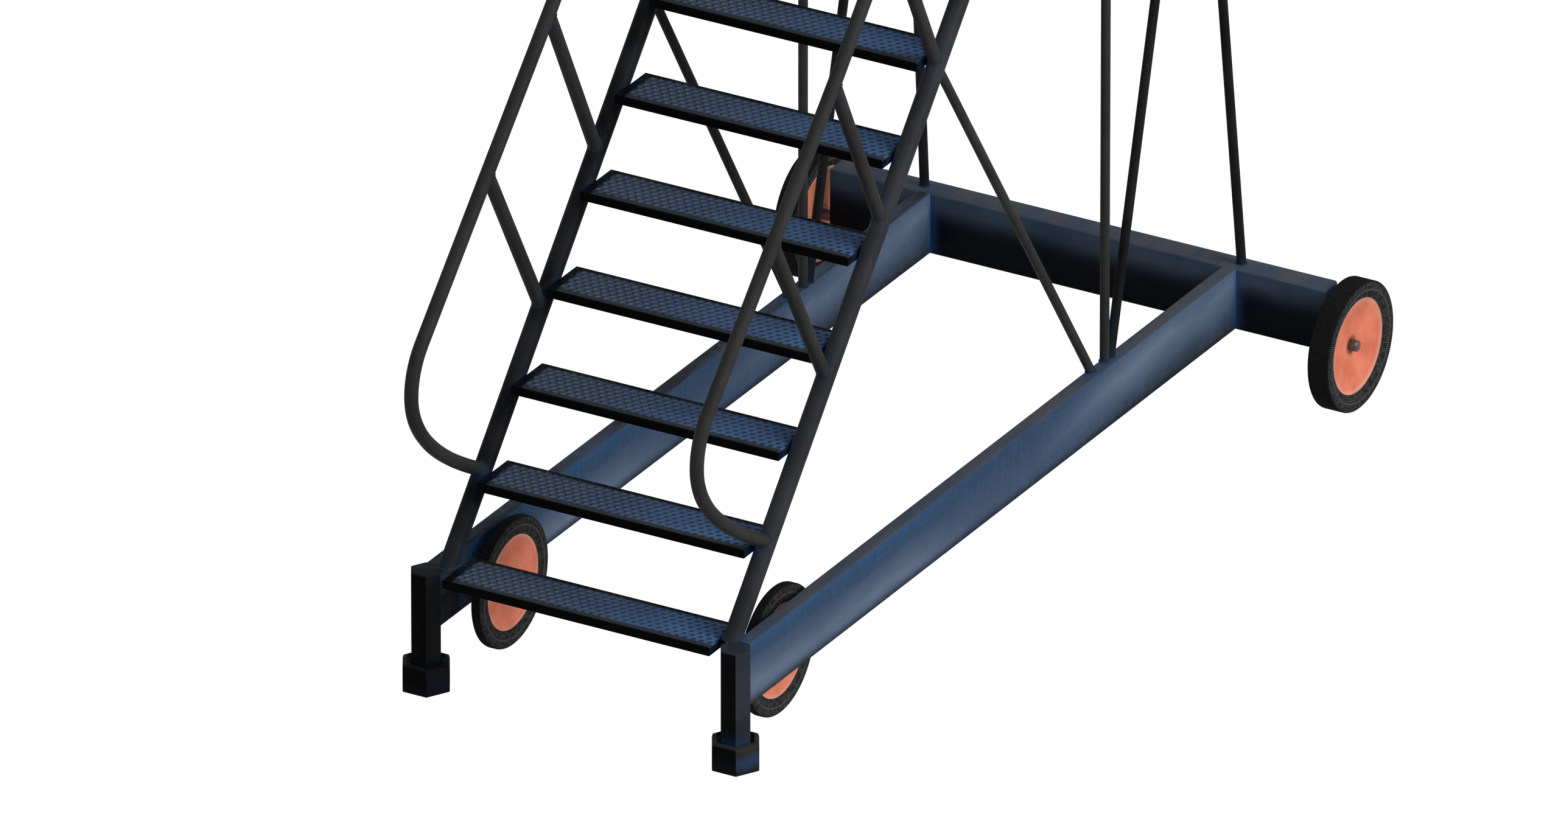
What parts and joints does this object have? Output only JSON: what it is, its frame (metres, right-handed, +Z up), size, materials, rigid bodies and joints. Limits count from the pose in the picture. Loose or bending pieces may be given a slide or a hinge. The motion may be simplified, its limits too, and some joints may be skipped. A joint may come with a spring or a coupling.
{
  "type": "library ladder",
  "caption": "Wheeled library steps with dimpled treads, looped tubular handrails and a guarded platform on a low box-beam base with disc wheels and jacking feet.",
  "frame": {"origin": "on the floor, under the middle of the whole ladder's bounding box", "axes": "+Z up, +Y from the front of the stair to the back, +X to the climber's right"},
  "size_m": [1.896, 3.353, 3.4681],
  "materials": {
    "frame_paint": "dark navy paint on box sections, lightly scratched, soft sheen",
    "tube_paint": "charcoal paint on tubes, matt with a soft sheen",
    "tread_paint": "navy paint on dimpled sheet, worn on the raised dimples",
    "tyre_rubber": "black rubber with a fine moulded pattern",
    "wheel_disc_plastic": "salmon coloured smooth moulding",
    "bare_steel": "dark oiled steel",
    "bush_bronze": "plain bearing bronze"
  },
  "bodies": {
    "frame": {"side_beam_left": "frame_paint", "side_beam_right": "frame_paint", "rear_beam": "frame_paint", "front_leg_left": "frame_paint", "front_axle_left": "bare_steel", "stringer_left": "tube_paint", "platform_rail_left": "frame_paint", "front_brace_left": "tube_paint", "upright_post_left": "tube_paint", "rear_brace_left": "tube_paint", "rear_post_left": "tube_paint", "handrail_left": "tube_paint", "stanchion_left_1": "tube_paint", "stanchion_left_2": "tube_paint", "stanchion_left_3": "tube_paint", "stanchion_left_4": "tube_paint", "side_knee_rail_left": "tube_paint", "front_leg_right": "frame_paint", "front_axle_right": "bare_steel", "stringer_right": "tube_paint", "platform_rail_right": "frame_paint", "front_brace_right": "tube_paint", "upright_post_right": "tube_paint", "rear_brace_right": "tube_paint", "rear_post_right": "tube_paint", "handrail_right": "tube_paint", "stanchion_right_1": "tube_paint", "stanchion_right_2": "tube_paint", "stanchion_right_3": "tube_paint", "stanchion_right_4": "tube_paint", "side_knee_rail_right": "tube_paint", "rear_axle": "bare_steel", "tread_1": "tread_paint", "tread_2": "tread_paint", "tread_3": "tread_paint", "tread_4": "tread_paint", "tread_5": "tread_paint", "tread_6": "tread_paint", "tread_7": "tread_paint", "tread_8": "tread_paint", "tread_9": "tread_paint", "platform_deck": "tread_paint", "rear_guard_rail": "tube_paint", "rear_knee_rail": "tube_paint"},
    "foot_left_body": {"foot_left": "frame_paint", "foot_screw_left": "bare_steel"},
    "wheel_front_left": {"tyre_front_left": "tyre_rubber", "wheel_disc_front_left": "wheel_disc_plastic", "wheel_bush_front_left": "bush_bronze"},
    "wheel_rear_left": {"tyre_rear_left": "tyre_rubber", "wheel_disc_rear_left": "wheel_disc_plastic", "wheel_bush_rear_left": "bush_bronze"},
    "foot_right_body": {"foot_right": "frame_paint", "foot_screw_right": "bare_steel"},
    "wheel_front_right": {"tyre_front_right": "tyre_rubber", "wheel_disc_front_right": "wheel_disc_plastic", "wheel_bush_front_right": "bush_bronze"},
    "wheel_rear_right": {"tyre_rear_right": "tyre_rubber", "wheel_disc_rear_right": "wheel_disc_plastic", "wheel_bush_rear_right": "bush_bronze"}
  },
  "joints": [
    {"name": "front_wheel_left_spin", "type": "hinge", "parent": "frame", "child": "wheel_front_left", "pos_m": [-0.451, -1.14048, 0.202], "axis": [1, 0, 0], "continuous": true},
    {"name": "rear_wheel_left_spin", "type": "hinge", "parent": "frame", "child": "wheel_rear_left", "pos_m": [-0.9115, 1.47452, 0.202], "axis": [1, 0, 0], "continuous": true},
    {"name": "foot_left_jack", "type": "slide", "parent": "frame", "child": "foot_left_body", "axis": [0, 0, 1], "range_m": [-0.015, 0.018]},
    {"name": "front_wheel_right_spin", "type": "hinge", "parent": "frame", "child": "wheel_front_right", "pos_m": [0.451, -1.14048, 0.202], "axis": [1, 0, 0], "continuous": true},
    {"name": "rear_wheel_right_spin", "type": "hinge", "parent": "frame", "child": "wheel_rear_right", "pos_m": [0.9115, 1.47452, 0.202], "axis": [1, 0, 0], "continuous": true},
    {"name": "foot_right_jack", "type": "slide", "parent": "frame", "child": "foot_right_body", "axis": [0, 0, 1], "range_m": [-0.015, 0.018]}
  ]
}
